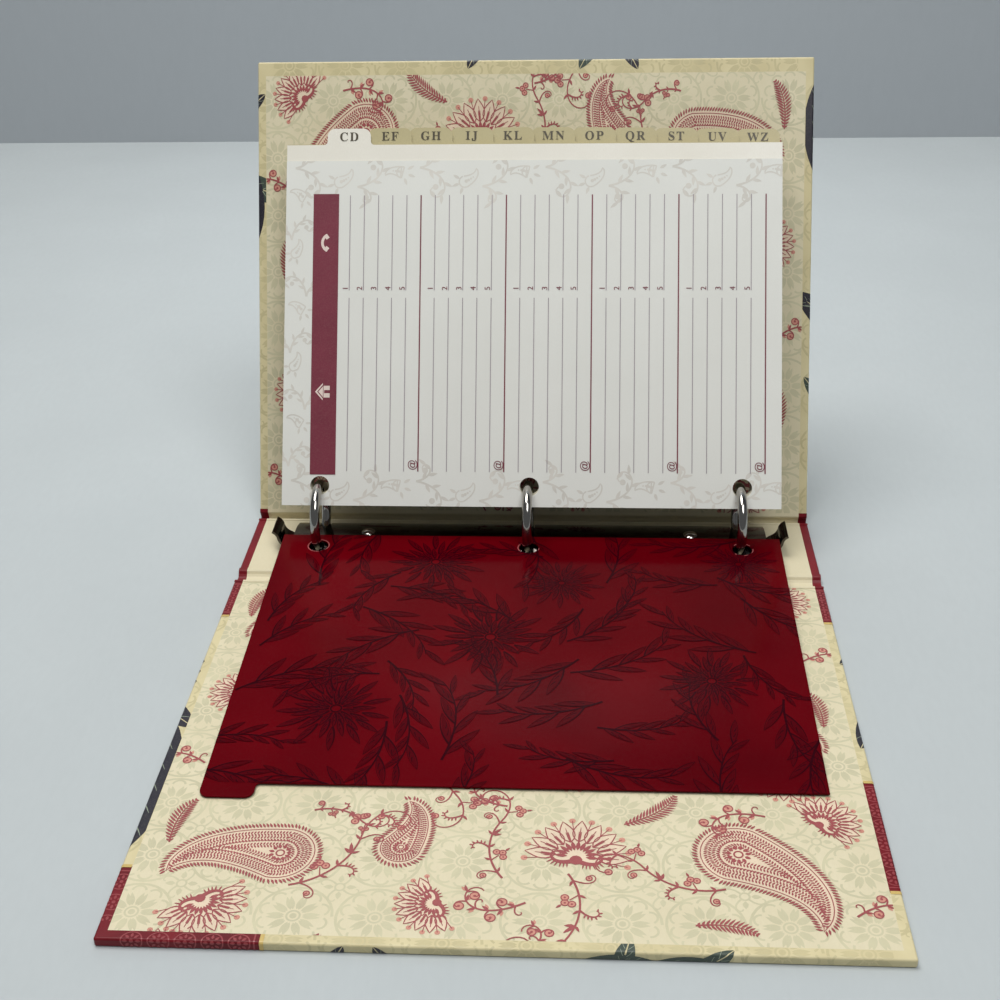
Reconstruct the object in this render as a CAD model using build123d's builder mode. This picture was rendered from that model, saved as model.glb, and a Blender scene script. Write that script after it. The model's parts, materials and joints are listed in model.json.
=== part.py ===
from build123d import *
from math import asin, cos, degrees, radians, sin, sqrt
import os

# Loose-leaf address book: a paper-covered case, a three-ring mechanism and tabbed leaves.
# Millimetres. X runs along the spine, Y from the front cover to the back cover, Z is up.
# The origin is the centre of the spine's outer face, on the table.
# The front cover lies open and flat, the back cover stands leaning back, the leaves lean with it.

# Case
cover_depth = 156.0        # one cover, from its gutter to its fore-edge
cover_overhang = 12.7      # case beyond the leaves at head and tail
spine_width = 34.0         # spine board
gutter_width = 6.0         # bare wrap between two boards, where the case folds
board_thick = 2.0
paper_thick = 0.3          # wrap, endpapers and liner
gutter_thick = 0.5         # wrap and liner pasted together
fold_gap = 0.4             # bare paper each side of a fold line
turn_in = 2.8              # margin of wrap that shows round an endpaper
back_turn_in = 4.8         # the same at the back cover's fore-edge, where the endpaper falls short
edge_round = 0.6
back_lean = 26.0           # back cover, degrees past upright

# Ring mechanism
ring_pitch = 69.85
ring_bore = 18.6
wire = 3.2
tip_gap = 0.1              # from a ring tip to the parting plane
leg_angle = 45.0           # a ring's straight legs, below the horizontal
leg_length = 1.83
stub_dia = 1.8             # riveted end of a leg
stub_gap = 0.05
plate_margin = 9.15        # cover plate beyond the outer rings
plate_wall = 0.8
plate_side = 2.8           # upright part of the plate's sides
plate_rise = 2.4           # arch above the sides
shoulder_round = 0.5
lip_width = 1.0            # curled-in edge that carries a blade
blade_thick = 0.9
blade_gap = 0.3            # blade above its lip
blade_side_gap = 0.2       # blade edge to the plate's side
blade_split = 0.15         # blade edge to the middle plane
blade_end_gap = 1.5        # blade short of the plate's end
foot_margin = 0.1          # blade beyond a ring's foot
slot_gap = 0.35            # plate's slot round a ring
rivet_spacing = 108.0
rivet_shank = 2.8
rivet_head = 4.6
rivet_head_height = 0.9
rivet_foot = 5.6
rivet_foot_height = 0.5
rivet_gap = 0.05
rivet_notch_gap = 0.8      # blade notch round a rivet

# Trigger levers
lever_thick = 0.8
lever_gap = 0.2            # lever above the spine liner
lever_clear = 0.5          # lever beyond the leaves
lever_slope = 22.0         # arm, degrees up from the spine
lever_bend = 4.2
riser_slope = 82.0
pad_bend = 3.0
pad_bend_angle = 60.0
lever_width = 10.0
lever_round = 2.5
tongue_width = 3.0
tongue_length = 2.2        # reach under the blades, from the pivot
pivot_inset = 0.8          # pivot inside the plate's end

# Leaves
sheet_margin = 12.7        # sheet beyond its outer holes
leaf_depth = 115.7
divider_depth = 121.0
leaf_thick = 0.16
divider_thick = 0.36
leaf_gap = 0.07
hole_dia = 6.4
hole_margin = 6.6          # hole centre to binding edge
wire_offset = 0.5          # wire off a hole's centre, towards the binding edge
side_play = 0.5            # leaves pushed along the rings' axis
tab_width = 14.6
tab_height = 5.5
tab_round = 2.6
tab_root_round = 1.2
sections = ["ab", "cd", "ef", "gh", "ij", "kl", "mn", "op", "qr", "st", "uv", "wz"]
block_wedge = 5.4          # leaves lean this much further than the back cover, degrees
block_front = 5.2          # first leaf in front of the rings' axis
turned_lift = 0.4          # turned divider above the cover plate
seat_gap = 0.25            # turned divider's edge above the front endpaper
snug = 0.01                # tolerance for picking edges and corners

# Sizes that follow
cover_thick = board_thick + 2 * paper_thick
hinge_y = (spine_width + gutter_width) / 2
hinge_z = gutter_thick / 2
board_start = gutter_width / 2
board_depth = cover_depth - paper_thick
sheet_length = 2 * (ring_pitch + sheet_margin)
cover_length = sheet_length + 2 * cover_overhang
board_length = cover_length - 2 * paper_thick
endpaper_length = cover_length - 2 * turn_in

ring_radius = (ring_bore + wire) / 2
ring_places = [-ring_pitch, 0, ring_pitch]
side_names = {-1: "front", 1: "rear"}
blade_bottom = cover_thick + plate_wall + blade_gap
blade_top = blade_bottom + blade_thick
ring_z = blade_top + (ring_radius + leg_length) * sin(radians(leg_angle))
foot_y = (ring_radius - leg_length) * cos(radians(leg_angle))
foot_half = wire / 2 / sin(radians(leg_angle))
blade_edge = foot_y + foot_half + foot_margin
plate_inner = blade_edge + blade_side_gap
plate_half = plate_inner + plate_wall
plate_end = ring_pitch + plate_margin
blade_end = plate_end - blade_end_gap
plate_top = cover_thick + plate_side + plate_rise
rivet_places = [-rivet_spacing / 2, rivet_spacing / 2]

lever_z = cover_thick + lever_gap + lever_thick / 2
pivot_x = plate_end - pivot_inset
riser_x = sheet_length / 2 + side_play + lever_clear + lever_thick / 2
bend_x = riser_x - lever_bend * (sin(radians(riser_slope)) - sin(radians(lever_slope)))
arm_length = (bend_x - pivot_x) / cos(radians(lever_slope))

tab_step = (sheet_length - tab_width) / (len(sections) - 1)
block_direction = 90 - back_lean - block_wedge
turned_offset = ring_z - plate_top - turned_lift
turned_reach = sqrt(ring_radius**2 - turned_offset**2) + wire_offset - hole_margin + divider_depth + tab_height
turned_drop = plate_top + turned_lift - cover_thick - seat_gap - divider_thick
turned_direction = 180 + degrees(asin(turned_drop / turned_reach))

# Planes of the two covers: origin on the fold line, Y towards the fore-edge, Z out of the inner face
front_plane = Plane(origin=(0, -hinge_y, hinge_z), x_dir=(-1, 0, 0), z_dir=(0, 0, 1))
back_plane = Plane(
    origin=(0, hinge_y, hinge_z),
    x_dir=(1, 0, 0),
    z_dir=(0, -cos(radians(back_lean)), sin(radians(back_lean))),
)

os.makedirs("parts", exist_ok=True)


def save(part, name):
    part.label = name
    export_step(part, f"parts/{name}.step")


def make_cover_board(plane):
    with BuildPart() as board:
        with BuildSketch(plane.offset(paper_thick - hinge_z)):
            with Locations((0, board_start + board_depth / 2)):
                Rectangle(board_length, board_depth)
        extrude(amount=board_thick)
    return board.part


def make_cover_wrap(plane, endpaper_depth):
    with BuildPart() as wrap:
        with BuildSketch(plane.offset(-hinge_z)):
            with Locations((0, board_start + cover_depth / 2)):
                Rectangle(cover_length, cover_depth)
        extrude(amount=cover_thick)
        gutter_side = wrap.faces().sort_by(Axis(plane.origin, plane.y_dir))[0]
        fillet(wrap.edges() - gutter_side.edges(), edge_round)
        with BuildSketch(plane.offset(paper_thick - hinge_z)):
            with Locations((0, board_start + board_depth / 2)):
                Rectangle(board_length, board_depth)
        extrude(amount=board_thick, mode=Mode.SUBTRACT)
        with BuildSketch(plane.offset(paper_thick + board_thick - hinge_z)):
            with Locations((0, board_start + endpaper_depth / 2)):
                Rectangle(endpaper_length, endpaper_depth)
        extrude(amount=paper_thick, mode=Mode.SUBTRACT)
        with BuildSketch(plane.offset(-hinge_z)):
            with Locations((0, (fold_gap + board_start) / 2)):
                Rectangle(cover_length, board_start - fold_gap)
        extrude(amount=gutter_thick)
    return wrap.part


def make_endpaper(plane, endpaper_depth):
    with BuildPart() as endpaper:
        with BuildSketch(plane.offset(paper_thick + board_thick - hinge_z)):
            with Locations((0, board_start + endpaper_depth / 2)):
                Rectangle(endpaper_length, endpaper_depth)
        extrude(amount=paper_thick)
    return endpaper.part


for cover, plane, fore_margin in (("front", front_plane, turn_in), ("back", back_plane, back_turn_in)):
    endpaper_depth = cover_depth - fore_margin
    save(make_cover_board(plane), f"{cover}_cover_board")
    save(make_cover_wrap(plane, endpaper_depth), f"{cover}_cover_wrap")
    save(make_endpaper(plane, endpaper_depth), f"{cover}_endpaper")

# Spine board, bored for the rivets and counterbored below for their feet
with BuildPart() as spine_board:
    with BuildSketch(Plane.XY.offset(paper_thick)):
        Rectangle(board_length, spine_width)
    extrude(amount=board_thick)
    with BuildSketch(Plane.XY.offset(paper_thick)):
        with GridLocations(rivet_spacing, 1, 2, 1):
            Circle(rivet_shank / 2 + rivet_gap)
    extrude(amount=board_thick, mode=Mode.SUBTRACT)
    with BuildSketch(Plane.XY.offset(paper_thick)):
        with GridLocations(rivet_spacing, 1, 2, 1):
            Circle(rivet_foot / 2 + rivet_gap)
    extrude(amount=rivet_foot_height, mode=Mode.SUBTRACT)
save(spine_board.part, "spine_board")

# Spine wrap, turned in at head and tail, with the paper of both gutters up to the fold lines
with BuildPart() as spine_wrap:
    with BuildSketch(Plane.XY):
        Rectangle(cover_length, spine_width)
    extrude(amount=cover_thick)
    fillet(spine_wrap.edges().filter_by(Axis.Y), edge_round)
    with BuildSketch(Plane.XY.offset(paper_thick)):
        Rectangle(board_length, spine_width)
    extrude(amount=board_thick, mode=Mode.SUBTRACT)
    with BuildSketch(Plane.XY.offset(paper_thick + board_thick)):
        Rectangle(endpaper_length, spine_width)
    extrude(amount=paper_thick, mode=Mode.SUBTRACT)
    with BuildSketch(Plane.XY):
        with GridLocations(1, 2 * hinge_y - fold_gap - board_start, 1, 2):
            Rectangle(cover_length, board_start - fold_gap)
    extrude(amount=gutter_thick)
save(spine_wrap.part, "spine_wrap")

with BuildPart() as spine_liner:
    with BuildSketch(Plane.XY.offset(paper_thick + board_thick)):
        Rectangle(endpaper_length, spine_width)
        with GridLocations(rivet_spacing, 1, 2, 1):
            Circle(rivet_shank / 2 + rivet_gap, mode=Mode.SUBTRACT)
    extrude(amount=paper_thick)
save(spine_liner.part, "spine_liner")

# Arched cover plate: a channel with curled-in lips, slotted for the rings and bored for the rivets
with BuildPart() as cover_plate:
    spring_z = cover_thick + plate_side
    with BuildSketch(Plane.YZ):
        with BuildLine():
            Polyline((-plate_half, spring_z), (-plate_half, cover_thick), (plate_half, cover_thick),
                     (plate_half, spring_z))
            ThreePointArc((plate_half, spring_z), (0, plate_top), (-plate_half, spring_z))
        make_face()
        with BuildLine():
            Polyline((-plate_inner, spring_z), (-plate_inner, cover_thick + plate_wall),
                     (plate_inner, cover_thick + plate_wall), (plate_inner, spring_z))
            ThreePointArc((plate_inner, spring_z), (0, plate_top - plate_wall), (-plate_inner, spring_z))
        make_face(mode=Mode.SUBTRACT)
        with Locations((0, cover_thick + plate_wall / 2)):
            Rectangle(2 * (plate_inner - lip_width), plate_wall, mode=Mode.SUBTRACT)
    extrude(amount=plate_end, both=True)
    long_edges = cover_plate.edges().filter_by(Axis.X)
    shoulders = long_edges.filter_by_position(Axis.Z, spring_z - snug, spring_z + snug).sort_by(Axis.Y)
    fillet([shoulders[0], shoulders[-1]], shoulder_round)
    slot_start = foot_y - wire / 2 - slot_gap
    slot_length = plate_half - slot_start + slot_gap
    with BuildSketch(Plane.XY.offset(blade_top - slot_gap)):
        with GridLocations(ring_pitch, 2 * slot_start + slot_length, 3, 2):
            Rectangle(wire + 2 * slot_gap, slot_length)
    extrude(amount=plate_top, mode=Mode.SUBTRACT)
    with BuildSketch(Plane.XY.offset(cover_thick)):
        with GridLocations(rivet_spacing, 1, 2, 1):
            Circle(rivet_shank / 2 + rivet_gap)
    extrude(amount=plate_top, mode=Mode.SUBTRACT)
save(cover_plate.part, "ring_cover_plate")


def make_blade(side):
    with BuildPart() as blade:
        with BuildSketch(Plane.XY.offset(blade_bottom)):
            with Locations((0, side * (blade_split + blade_edge) / 2)):
                Rectangle(2 * blade_end, blade_edge - blade_split)
            with GridLocations(rivet_spacing, 1, 2, 1):
                Circle(rivet_shank / 2 + rivet_notch_gap, mode=Mode.SUBTRACT)
            with Locations((0, side * foot_y)):
                with GridLocations(ring_pitch, 1, 3, 1):
                    Circle(stub_dia / 2 + stub_gap, mode=Mode.SUBTRACT)
        extrude(amount=blade_thick)
    return blade.part


# Half ring: round wire from the parting plane to a straight leg that stands on its blade
def make_half_ring(x, side):
    tip_angle = degrees(asin(tip_gap / ring_radius))
    arc_span = 90 + leg_angle - tip_angle
    with BuildPart() as half_ring:
        with BuildLine(Plane.YZ.offset(x)) as path:
            bow = CenterArc((0, ring_z), ring_radius, 90 - side * tip_angle, -side * arc_span)
            PolarLine(bow @ 1, leg_length + wire, direction=bow % 1)
        with BuildSketch(Plane(origin=path.line @ 0, z_dir=path.line % 0)):
            Circle(wire / 2)
        sweep()
        split(bisect_by=Plane.XY.offset(blade_top), keep=Keep.TOP)
        with BuildSketch(Plane.XY.offset(blade_bottom)):
            with Locations((x, side * foot_y)):
                Circle(stub_dia / 2)
        extrude(amount=blade_thick + wire / 4)
    return half_ring.part


for side, side_name in side_names.items():
    save(make_blade(side), f"{side_name}_blade")
    for place, x in zip(["left", "middle", "right"], ring_places):
        save(make_half_ring(x, side), f"{side_name}_half_ring_{place}")


# Trigger lever: a tongue under the blades, a rising arm and a finger pad past the leaves
def make_trigger(side):
    with BuildPart() as trigger:
        with BuildSketch(Plane.XZ):
            with BuildLine():
                tongue = Line((side * (pivot_x - tongue_length), lever_z), (side * pivot_x, lever_z))
                arm = PolarLine(tongue @ 1, arm_length, 90 - side * (90 - lever_slope))
                riser = JernArc(arm @ 1, arm % 1, lever_bend, side * (riser_slope - lever_slope))
                JernArc(riser @ 1, riser % 1, pad_bend, -side * pad_bend_angle)
            trace(line_width=lever_thick)
        extrude(amount=lever_width, both=True)
        with BuildSketch(Plane.XY.offset(cover_thick)):
            with Locations((side * pivot_x, 0)):
                Rectangle(2 * tongue_length + lever_thick, tongue_width)
            with Locations((side * (plate_end + lever_width), 0)):
                RectangleRounded(2 * lever_width, lever_width, lever_round)
        extrude(amount=2 * lever_bend + 2 * pad_bend, mode=Mode.INTERSECT)
    return trigger.part


save(make_trigger(-1), "left_trigger")
save(make_trigger(1), "right_trigger")

# Two domed rivets that hold the mechanism on the spine board
with BuildPart() as mounting_rivets:
    for x in rivet_places:
        with BuildSketch(Plane(origin=(x, 0, 0), x_dir=(1, 0, 0), z_dir=(0, -1, 0))):
            with BuildLine():
                Polyline((0, plate_top + rivet_head_height), (0, paper_thick), (rivet_foot / 2, paper_thick),
                         (rivet_foot / 2, paper_thick + rivet_foot_height),
                         (rivet_shank / 2, paper_thick + rivet_foot_height), (rivet_shank / 2, plate_top),
                         (rivet_head / 2, plate_top))
                TangentArc((0, plate_top + rivet_head_height), (rivet_head / 2, plate_top), tangent=(1, 0))
            make_face()
        revolve(axis=Axis((x, 0, 0), (0, 0, 1)))
save(mounting_rivets.part, "mounting_rivets")


# A sheet's plane: origin at the middle of its binding edge, Y towards its fore-edge.
# direction is the way the sheet points, degrees up from +Y; offset is its distance from the rings' axis.
def make_sheet_plane(direction, offset):
    along = Vector(0, cos(radians(direction)), sin(radians(direction)))
    normal = Vector(0, -along.Z, along.Y)
    binding = sqrt(ring_radius**2 - offset**2) + wire_offset - hole_margin
    origin = Vector(side_play, 0, ring_z) + normal * offset + along * binding
    return Plane(origin=origin, x_dir=(1, 0, 0), z_dir=normal)


def make_leaf(plane):
    with BuildPart() as leaf:
        with BuildSketch(plane):
            with Locations((0, leaf_depth / 2)):
                Rectangle(sheet_length, leaf_depth)
            with Locations((0, hole_margin)):
                with GridLocations(ring_pitch, 1, 3, 1):
                    Circle(hole_dia / 2, mode=Mode.SUBTRACT)
        extrude(amount=leaf_thick / 2, both=True)
    return leaf.part


def make_divider(plane, number):
    tab_x = -sheet_length / 2 + tab_width / 2 + number * tab_step
    with BuildPart() as divider:
        with BuildSketch(plane) as outline:
            with Locations((0, divider_depth / 2)):
                Rectangle(sheet_length, divider_depth)
            with Locations((tab_x, divider_depth)):
                RectangleRounded(tab_width, 2 * tab_height, tab_round)
            corners = outline.vertices().filter_by_position(Axis.Y, divider_depth - snug, divider_depth + snug)
            roots = corners.filter_by_position(Axis.X, tab_x - tab_width / 2 - snug, tab_x + tab_width / 2 + snug)
            inner_roots = roots.filter_by_position(Axis.X, snug - sheet_length / 2, sheet_length / 2 - snug)
            fillet(inner_roots, tab_root_round)
            with Locations((0, hole_margin)):
                with GridLocations(ring_pitch, 1, 3, 1):
                    Circle(hole_dia / 2, mode=Mode.SUBTRACT)
        extrude(amount=divider_thick / 2, both=True)
    return divider.part


# The first divider is turned over onto the front cover; the other sheets lean back in one block
save(make_divider(make_sheet_plane(turned_direction, turned_offset), 0), "divider_ab")
offset = block_front
for number, section in enumerate(sections):
    if number > 0:
        offset -= divider_thick / 2
        save(make_divider(make_sheet_plane(block_direction, offset), number), f"divider_{section}")
        offset -= divider_thick / 2 + leaf_gap
    offset -= leaf_thick / 2
    save(make_leaf(make_sheet_plane(block_direction, offset)), f"leaf_{section}")
    offset -= leaf_thick / 2 + leaf_gap

print("case", cover_length, "x", cover_depth, "ring axis height", round(ring_z, 3), "foot", round(foot_y, 3))
print("pivots: hinge", hinge_y, hinge_z, "blade", round(blade_edge, 3), blade_bottom + blade_thick / 2,
      "lever", round(pivot_x, 3), lever_z)
print("turned divider direction", round(turned_direction, 3), "offset", round(turned_offset, 3))
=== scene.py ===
import json
from math import atan2, cos, degrees, hypot, pi, radians, sin

import bpy
from mathutils import Matrix, Vector, geometry


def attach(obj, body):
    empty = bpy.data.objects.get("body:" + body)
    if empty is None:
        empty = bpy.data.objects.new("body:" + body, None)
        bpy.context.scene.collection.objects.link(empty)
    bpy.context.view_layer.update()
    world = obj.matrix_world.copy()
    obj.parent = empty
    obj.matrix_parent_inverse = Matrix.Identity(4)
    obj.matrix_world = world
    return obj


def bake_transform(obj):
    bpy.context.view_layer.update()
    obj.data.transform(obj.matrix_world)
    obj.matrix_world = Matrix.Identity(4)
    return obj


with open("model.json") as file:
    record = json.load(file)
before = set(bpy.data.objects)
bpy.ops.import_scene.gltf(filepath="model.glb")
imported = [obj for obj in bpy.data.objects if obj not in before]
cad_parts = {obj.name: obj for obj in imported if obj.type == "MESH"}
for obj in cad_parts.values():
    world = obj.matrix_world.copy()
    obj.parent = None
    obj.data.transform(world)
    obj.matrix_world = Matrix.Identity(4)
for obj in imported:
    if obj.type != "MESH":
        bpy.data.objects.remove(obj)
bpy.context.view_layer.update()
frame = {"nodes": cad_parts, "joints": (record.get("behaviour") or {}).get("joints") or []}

# Open ring-bound address book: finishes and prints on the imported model.
# Prints are drawn in millimetres on flat faces of the model, then laid on them as thin films of ink.
nodes = frame["nodes"]
MM = 0.001
SECTIONS = ["ab", "cd", "ef", "gh", "ij", "kl", "mn", "op", "qr", "st", "uv", "wz"]

# Inks in the order of printing: screen colour and roughness. Each lies a step above the one before.
INKS = {
    "rosette": (207, 201, 167, 0.5), "straw": (204, 193, 149, 0.42), "pale": (219, 216, 207, 0.55),
    "olive": (140, 130, 82, 0.4), "blush": (230, 209, 182, 0.5), "green": (58, 72, 62, 0.4),
    "navy": (30, 26, 40, 0.4), "sage": (146, 156, 136, 0.4), "crimson": (116, 26, 38, 0.4),
    "rose": (206, 142, 124, 0.5), "pink": (176, 92, 92, 0.4), "garnet": (148, 52, 58, 0.4),
    "plum": (74, 12, 28, 0.4), "dusk_red": (79, 1, 11, 0.16), "shadow_red": (48, 1, 11, 0.16),
    "brick": (158, 72, 74, 0.5), "rule": (160, 148, 156, 0.5), "maroon": (122, 44, 62, 0.45),
    "gold": (206, 178, 104, 0.4), "cream": (232, 214, 204, 0.45), "black": (78, 71, 55, 0.4),
}
CARD_INKS = ("dusk_red", "shadow_red")  # printed on the red card, and as glossy as it is
FILM_STEP = 0.006  # mm
JOIN = 1e-4  # points closer than this are one point, mm

# Photograph's camera, fitted to the model's corners: mm, radians and pixels of the 1000 pixel frame
CAMERA_AT = (19.0, -418.7, 256.2)
CAMERA_YAW = -0.0673
CAMERA_PITCH = 0.5118
CAMERA_ROLL = -0.0249
FOCAL_PIXELS = 1450.9
FRAME_PIXELS = 1000
SENSOR = 36.0


# Materials

def rgb(red, green, blue):
    """A screen colour, 0 to 255 a channel, as the linear colour that shaders take."""
    def linear(value):
        share = value / 255
        return share / 12.92 if share <= 0.04045 else ((share + 0.055) / 1.055) ** 2.4
    return (linear(red), linear(green), linear(blue), 1.0)


PLAIN_SHINE = 0.5  # the shader's own share of mirrored light


class Look:
    """A material on one Principled shader, with short calls for its texture nodes."""

    def __init__(self, name, colour, roughness, metallic=0.0, shine=PLAIN_SHINE):
        self.material = bpy.data.materials.new(name)
        self.material.use_nodes = True
        self.tree = self.material.node_tree
        self.shader = self.tree.nodes["Principled BSDF"]
        settings = {"Base Color": colour, "Roughness": roughness, "Metallic": metallic,
                    "Specular IOR Level": shine}
        for socket, value in settings.items():
            self.shader.inputs[socket].default_value = value

    def add(self, kind, inputs=None, **settings):
        node = self.tree.nodes.new(kind)
        for name, value in settings.items():
            setattr(node, name, value)
        for key, value in (inputs or {}).items():
            if isinstance(value, bpy.types.NodeSocket):
                self.tree.links.new(value, node.inputs[key])
            else:
                node.inputs[key].default_value = value
        return node

    def place(self, stretch=(1, 1, 1)):
        """Object coordinates in metres, stretched along the three axes."""
        coordinates = self.add("ShaderNodeTexCoord").outputs["Object"]
        return self.add("ShaderNodeMapping", {"Vector": coordinates, "Scale": stretch}).outputs["Vector"]

    def noise(self, grain, detail=3.0, stretch=(1, 1, 1)):
        """Cloudy values from 0 to 1 with spots about grain millimetres wide."""
        inputs = {"Vector": self.place(stretch), "Scale": 1 / (grain * MM), "Detail": detail}
        return self.add("ShaderNodeTexNoise", inputs).outputs[0]

    def ramp(self, value, low, high, to_low=0.0, to_high=1.0):
        names = ("Value", "From Min", "From Max", "To Min", "To Max")
        inputs = dict(zip(names, (value, low, high, to_low, to_high)))
        return self.add("ShaderNodeMapRange", inputs).outputs["Result"]

    def math(self, operation, first, second):
        return self.add("ShaderNodeMath", {0: first, 1: second}, operation=operation).outputs[0]

    def between(self, axis, low, high):
        """1 where an object coordinate lies between two limits in mm, and 0 elsewhere."""
        coordinates = self.add("ShaderNodeTexCoord").outputs["Object"]
        value = self.add("ShaderNodeSeparateXYZ", {"Vector": coordinates}).outputs[axis]
        above = self.math("GREATER_THAN", value, low * MM)
        return self.math("MULTIPLY", above, self.math("LESS_THAN", value, high * MM))

    def mix(self, factor, first, second):
        inputs = {0: factor, 6: first, 7: second}
        return self.add("ShaderNodeMix", inputs, data_type="RGBA").outputs[2]

    def feed(self, socket, value):
        self.tree.links.new(value, self.shader.inputs[socket])
        return self

    def bump(self, height, depth):
        bump = self.add("ShaderNodeBump", {"Height": height, "Distance": depth * MM})
        return self.feed("Normal", bump.outputs["Normal"])


def make_paper(name, light, dark, roughness, cloud=16.0, fibre=0.35, relief=0.012):
    """Paper: cloudy colour, a fine fibre relief and a little unevenness of gloss."""
    look = Look(name, light, roughness)
    clouds = look.ramp(look.noise(cloud, 4.0), 0.3, 0.7)
    fibres = look.noise(fibre, 5.0, (1.0, 0.35, 0.35))
    speckled = look.mix(look.ramp(fibres, 0.35, 0.75, 0.0, 0.35), light, dark)
    look.feed("Base Color", look.mix(look.ramp(clouds, 0, 1, 0.0, 0.6), speckled, dark))
    look.feed("Roughness", look.ramp(fibres, 0.2, 0.8, roughness - 0.05, roughness + 0.06))
    return look.bump(fibres, relief)


def make_chrome(name, colour):
    look = Look(name, colour, 0.08, metallic=1.0)
    haze = look.noise(3.0, 4.0)
    scratches = look.noise(0.12, 2.0, (0.05, 1.0, 1.0))
    wear = look.math("MULTIPLY", haze, scratches)
    look.feed("Roughness", look.ramp(wear, 0.1, 0.5, 0.05, 0.17))
    return look.bump(haze, 0.004)


def make_blade_steel():
    look = Look("rolled_steel", rgb(170, 170, 172), 0.35, metallic=1.0)
    lines = look.noise(0.2, 3.0, (0.04, 1.0, 1.0))
    look.feed("Roughness", look.ramp(lines, 0.2, 0.8, 0.25, 0.45))
    return look.bump(lines, 0.004)


PALE_PAPER = rgb(222, 214, 190)
RED_CARD = rgb(99, 2, 12)
CARD_SHINE = 0.035  # share of light that the coated card mirrors, on the shader's scale


def make_red_card():
    """Glossy coated card, deep red, slightly wavy so that what it mirrors wobbles."""
    look = Look("red_card", RED_CARD, 0.14, shine=CARD_SHINE)
    waves = look.noise(26.0, 1.0)
    clouds = look.noise(45.0, 2.0)
    look.feed("Base Color", look.mix(look.ramp(clouds, 0.3, 0.7), RED_CARD, rgb(80, 0, 8)))
    look.feed("Roughness", look.ramp(look.noise(1.2, 4.0), 0.3, 0.7, 0.1, 0.18))
    return look.bump(waves, 0.16)


FAR_OUT = 200.0  # past every edge of the case
# Where the wrap's ground is printed dark red: X and Y limits of a corner, a side patch and the spine's band
RED_ZONES = [
    ((-FAR_OUT, -55.4), (-FAR_OUT, -155.0)),
    ((80.0, FAR_OUT), (-158.0, -118.0)),
    ((-FAR_OUT, FAR_OUT), (-44.0, FAR_OUT)),
]


def make_wrap_paper(name, zones):
    """The case's paper: a cream ground, with dark red zones."""
    cream, cream_dark = rgb(218, 207, 166), rgb(204, 192, 149)
    red, red_dark = rgb(122, 10, 26), rgb(98, 6, 20)
    look = Look(name, cream, 0.42, shine=0.3)
    clouds = look.ramp(look.noise(12.0, 4.0), 0.3, 0.7)
    ground = look.mix(clouds, cream, cream_dark)
    for x_limits, y_limits in zones:
        zone = look.math("MULTIPLY", look.between("X", *x_limits), look.between("Y", *y_limits))
        ground = look.mix(zone, ground, look.mix(clouds, red, red_dark))
    look.feed("Base Color", ground)
    fibres = look.noise(0.5, 4.0)
    look.feed("Roughness", look.ramp(fibres, 0.2, 0.8, 0.36, 0.5))
    return look.bump(fibres, 0.008)


SHOW_THROUGH = 0.1  # share of the paper's colour where ink lies thin
DEEPENING = 0.86    # how much darker ink is where it lies thick


def make_ink(name):
    """Printed ink, deeper in clouds and thin in its grain, where the paper shows and the gloss is less."""
    *screen, roughness = INKS[name]
    colour = rgb(*screen)
    paper, shine = (RED_CARD, CARD_SHINE) if name in CARD_INKS else (PALE_PAPER, PLAIN_SHINE)
    look = Look(f"{name}_ink", colour, roughness, shine=shine)
    thin = [(1 - SHOW_THROUGH) * ink + SHOW_THROUGH * below for ink, below in zip(colour, paper)]
    deep = [DEEPENING * channel for channel in colour[:3]] + [1.0]
    clouds = look.ramp(look.noise(9.0, 3.0), 0.3, 0.7)
    grain = look.ramp(look.noise(0.4, 3.0), 0.45, 0.8, 0.0, 0.45)
    look.feed("Base Color", look.mix(grain, look.mix(clouds, colour, deep), thin))
    look.feed("Roughness", look.ramp(grain, 0.0, 0.45, roughness - 0.04, roughness + 0.08))
    return look


looks = {
    "endpaper": make_paper("endpaper_paper", rgb(221, 212, 182), rgb(210, 200, 167), 0.55),
    "board": make_paper("grey_board", rgb(150, 145, 136), rgb(110, 104, 96), 0.9,
                        cloud=6.0, fibre=0.8, relief=0.05),
    "leaf": make_paper("leaf_paper", rgb(228, 229, 223), rgb(220, 221, 214), 0.6,
                       cloud=30.0, fibre=0.25, relief=0.006),
    "white_card": make_paper("white_card", rgb(236, 233, 222), rgb(226, 222, 208), 0.35,
                             cloud=24.0, fibre=0.3, relief=0.004),
    "tan_card": make_paper("tan_card", rgb(190, 180, 139), rgb(176, 165, 123), 0.38,
                           cloud=24.0, fibre=0.3, relief=0.005),
    "wrap": make_wrap_paper("wrap_paper", []),
    "zoned_wrap": make_wrap_paper("zoned_wrap_paper", RED_ZONES),
    "red_card": make_red_card(),
    # The rings' chrome is darkened below bright chrome: painted shade, for the dark room that it would
    # mirror.
    "chrome": make_chrome("chrome_plate", rgb(168, 165, 160)),
    # The ring plate and triggers get chrome darkened far below real plating: painted shade, for the shade and
    # dark reflections under the leaf block.
    "shade_darkened_chrome": make_chrome("dark_chrome_plate", rgb(82, 78, 76)),
    "steel": make_blade_steel(),
}
looks.update({ink: make_ink(ink) for ink in INKS})

NODE_LOOKS = {
    "front_cover_board": "board", "back_cover_board": "board", "spine_board": "board",
    "front_cover_wrap": "zoned_wrap", "spine_wrap": "zoned_wrap", "back_cover_wrap": "wrap",
    "front_endpaper": "endpaper", "back_endpaper": "endpaper", "spine_liner": "endpaper",
    "divider_ab": "red_card", "divider_cd": "white_card",
    "front_blade": "steel", "rear_blade": "steel", "ring_cover_plate": "shade_darkened_chrome",
    "left_trigger": "shade_darkened_chrome", "right_trigger": "shade_darkened_chrome",
}


def look_of(node):
    if node in NODE_LOOKS:
        return looks[NODE_LOOKS[node]]
    if node.startswith("leaf_"):
        return looks["leaf"]
    return looks["tan_card" if node.startswith("divider_") else "chrome"]


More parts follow.
